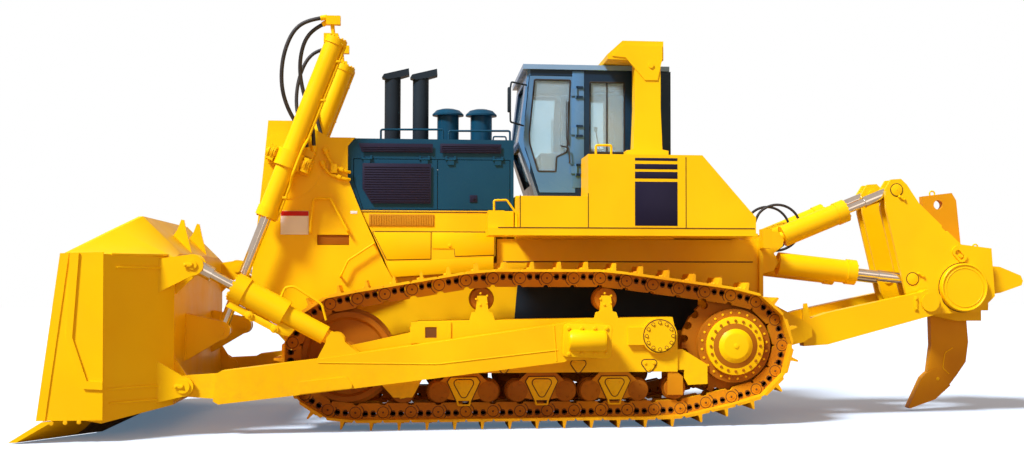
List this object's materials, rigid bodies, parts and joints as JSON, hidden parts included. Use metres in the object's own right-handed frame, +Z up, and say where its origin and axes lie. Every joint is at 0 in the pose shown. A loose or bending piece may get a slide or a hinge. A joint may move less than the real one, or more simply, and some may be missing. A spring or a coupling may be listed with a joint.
{
  "type": "bulldozer",
  "caption": "Large crawler bulldozer with a lifting and pitching semi-U blade, enclosed cab with opening doors, hinged engine doors and a rear ripper that raises and lowers.",
  "frame": {"origin": "on the ground under the middle of the machine's length and width", "axes": "-X points the way the machine drives forward (towards the blade), +X to the ripper, -Y is its left side, +Y its right side, +Z up"},
  "size_m": [12.272, 5.264, 4.9138],
  "materials": {
    "blue_paint": "satin",
    "cab_paint": "satin",
    "cast_engine": "satin",
    "chrome_rod": "polished",
    "core_metal": "matte",
    "dark_plastic": "matte",
    "glass": "gloss",
    "hose_rubber": "matte",
    "seat_fabric": "matte",
    "yellow_paint": "satin"
  },
  "bodies": {
    "hull": {"main_frame": "yellow_paint", "rear_bracket": "yellow_paint", "equalizer_bar": "yellow_paint", "engine_block": "cast_engine", "radiator_guard": "yellow_paint", "radiator_grille": "yellow_paint", "radiator_core": "core_metal", "hood_shell": "blue_paint", "side_cowls": "yellow_paint", "exhaust_stacks": "blue_paint", "air_pre_cleaners": "blue_paint", "cab_shell": "cab_paint", "cab_roof": "cab_paint", "cab_glass": "glass", "cab_platform": "yellow_paint", "operator_seat": "seat_fabric", "control_consoles": "dark_plastic", "rops_frame": "yellow_paint", "deck_boxes": "yellow_paint", "fuel_tank": "yellow_paint", "sprockets": "yellow_paint", "final_drives": "yellow_paint", "idlers": "yellow_paint", "track_rollers": "yellow_paint", "bogies": "yellow_paint", "carrier_rollers": "yellow_paint", "track_frames": "yellow_paint", "tracks": "yellow_paint", "ripper_hose_left": "hose_rubber", "ripper_hose_right": "hose_rubber"},
    "push_frame": {"push_arms": "yellow_paint"},
    "blade": {"blade_body": "yellow_paint", "blade_lugs": "yellow_paint", "blade_end_plates": "yellow_paint", "cutting_edge": "yellow_paint"},
    "pitch_cylinder_barrels": {"pitch_barrels": "yellow_paint"},
    "pitch_cylinder_rods": {"pitch_rods": "chrome_rod"},
    "lift_cylinder_barrels": {"lift_barrels": "yellow_paint", "lift_yokes": "yellow_paint", "lift_hose_left": "hose_rubber", "lift_hose_right": "hose_rubber", "lift_return_hose_left": "hose_rubber", "lift_return_hose_right": "hose_rubber"},
    "lift_cylinder_rods": {"lift_rods": "chrome_rod"},
    "ripper_link": {"ripper_arm": "yellow_paint"},
    "ripper_carriage": {"ripper_beam": "yellow_paint", "ripper_shank": "yellow_paint", "ripper_tip": "yellow_paint"},
    "tilt_cylinder_barrels": {"ripper_tilt_barrels": "yellow_paint"},
    "tilt_cylinder_rods": {"ripper_tilt_rods": "chrome_rod"},
    "ripper_lift_cylinder_barrels": {"ripper_lift_barrels": "yellow_paint"},
    "ripper_lift_cylinder_rods": {"ripper_lift_rods": "chrome_rod"},
    "left_cab_door": {"cab_door_left": "cab_paint", "door_glass_left": "glass"},
    "right_cab_door": {"cab_door_right": "cab_paint", "door_glass_right": "glass"},
    "left_front_engine_door": {"engine_door_front_left": "blue_paint"},
    "left_rear_engine_door": {"engine_door_rear_left": "blue_paint"},
    "right_front_engine_door": {"engine_door_front_right": "blue_paint"},
    "right_rear_engine_door": {"engine_door_rear_right": "blue_paint"}
  },
  "joints": [
    {"name": "blade_lift", "type": "hinge", "parent": "hull", "child": "push_frame", "pos_m": [0.094, 0, 1.049], "axis": [0, 1, 0], "range_deg": [-9.5, 15]},
    {"name": "blade_pitch", "type": "hinge", "parent": "push_frame", "child": "blade", "pos_m": [-4.443, 0, 0.547], "axis": [0, 1, 0], "range_deg": [-6, 6]},
    {"name": "pitch_cylinder_swing", "type": "hinge", "parent": "push_frame", "child": "pitch_cylinder_barrels", "pos_m": [-2.789, 0, 1.035], "axis": [0, 1, 0], "range_deg": [-1.9, 1.9]},
    {"name": "pitch_cylinder_stroke", "type": "slide", "parent": "pitch_cylinder_barrels", "child": "pitch_cylinder_rods", "axis": [-0.8783, 0, 0.478], "range_m": [-0.12768, 0.12768]},
    {"name": "lift_cylinder_swing", "type": "hinge", "parent": "hull", "child": "lift_cylinder_barrels", "pos_m": [-3.406, 0, 3.165], "axis": [0, 1, 0], "range_deg": [-6.56, 10.35]},
    {"name": "lift_cylinder_stroke", "type": "slide", "parent": "lift_cylinder_barrels", "child": "lift_cylinder_rods", "axis": [-0.352, 0, -0.936], "range_m": [-1.05517, 0.66828]},
    {"name": "ripper_lift", "type": "hinge", "parent": "hull", "child": "ripper_link", "pos_m": [2.93, 0, 1.08], "axis": [0, -1, 0], "range_deg": [-38, 20]},
    {"name": "ripper_carriage_level", "type": "hinge", "parent": "ripper_link", "child": "ripper_carriage", "pos_m": [4.602, 0, 1.445], "axis": [0, -1, 0], "range_deg": [-20, 38]},
    {"name": "tilt_cylinder_swing", "type": "hinge", "parent": "hull", "child": "tilt_cylinder_barrels", "pos_m": [2.65, 0, 2.235], "axis": [0, -1, 0], "range_deg": [-38.19, 20.1]},
    {"name": "tilt_cylinder_stroke", "type": "slide", "parent": "tilt_cylinder_barrels", "child": "tilt_cylinder_rods", "axis": [0.9255, 0, 0.3789], "range_m": [-0.18573, 0.09776]},
    {"name": "ripper_lift_cylinder_swing", "type": "hinge", "parent": "hull", "child": "ripper_lift_cylinder_barrels", "pos_m": [2.57, 0, 1.955], "axis": [0, -1, 0], "range_deg": [-31.35, 16.5]},
    {"name": "ripper_lift_cylinder_stroke", "type": "slide", "parent": "ripper_lift_cylinder_barrels", "child": "ripper_lift_cylinder_rods", "axis": [0.9937, 0, -0.1119], "range_m": [-0.17805, 0.33829]},
    {"name": "left_cab_door_hinge", "type": "hinge", "parent": "hull", "child": "left_cab_door", "pos_m": [0.055, -0.965, 3.5], "axis": [0, 0, 1], "range_deg": [0, 80]},
    {"name": "right_cab_door_hinge", "type": "hinge", "parent": "hull", "child": "right_cab_door", "pos_m": [0.055, 0.965, 3.5], "axis": [0, 0, -1], "range_deg": [0, 80]},
    {"name": "left_front_engine_door_hinge", "type": "hinge", "parent": "hull", "child": "left_front_engine_door", "pos_m": [-2.15, -0.794, 3.205], "axis": [-1, 0, 0], "range_deg": [0, 80]},
    {"name": "left_rear_engine_door_hinge", "type": "hinge", "parent": "hull", "child": "left_rear_engine_door", "pos_m": [-1.2, -0.794, 3.205], "axis": [-1, 0, 0], "range_deg": [0, 80]},
    {"name": "right_front_engine_door_hinge", "type": "hinge", "parent": "hull", "child": "right_front_engine_door", "pos_m": [-2.15, 0.794, 3.205], "axis": [1, 0, 0], "range_deg": [0, 80]},
    {"name": "right_rear_engine_door_hinge", "type": "hinge", "parent": "hull", "child": "right_rear_engine_door", "pos_m": [-1.2, 0.794, 3.205], "axis": [1, 0, 0], "range_deg": [0, 80]}
  ],
  "couplings": [
    {"joint": "pitch_cylinder_swing", "follows": "blade_pitch", "ratio": 0.3173},
    {"joint": "pitch_cylinder_stroke", "follows": "blade_pitch", "m_per_rad": -1.219},
    {"joint": "lift_cylinder_swing", "follows": "blade_lift", "ratio": 0.69},
    {"joint": "lift_cylinder_stroke", "follows": "blade_lift", "m_per_rad": -4.03},
    {"joint": "ripper_carriage_level", "follows": "ripper_lift", "ratio": -1},
    {"joint": "tilt_cylinder_swing", "follows": "ripper_lift", "ratio": 1.005},
    {"joint": "tilt_cylinder_stroke", "follows": "ripper_lift", "m_per_rad": 0.28},
    {"joint": "ripper_lift_cylinder_swing", "follows": "ripper_lift", "ratio": 0.825},
    {"joint": "ripper_lift_cylinder_stroke", "follows": "ripper_lift", "m_per_rad": -0.51}
  ]
}
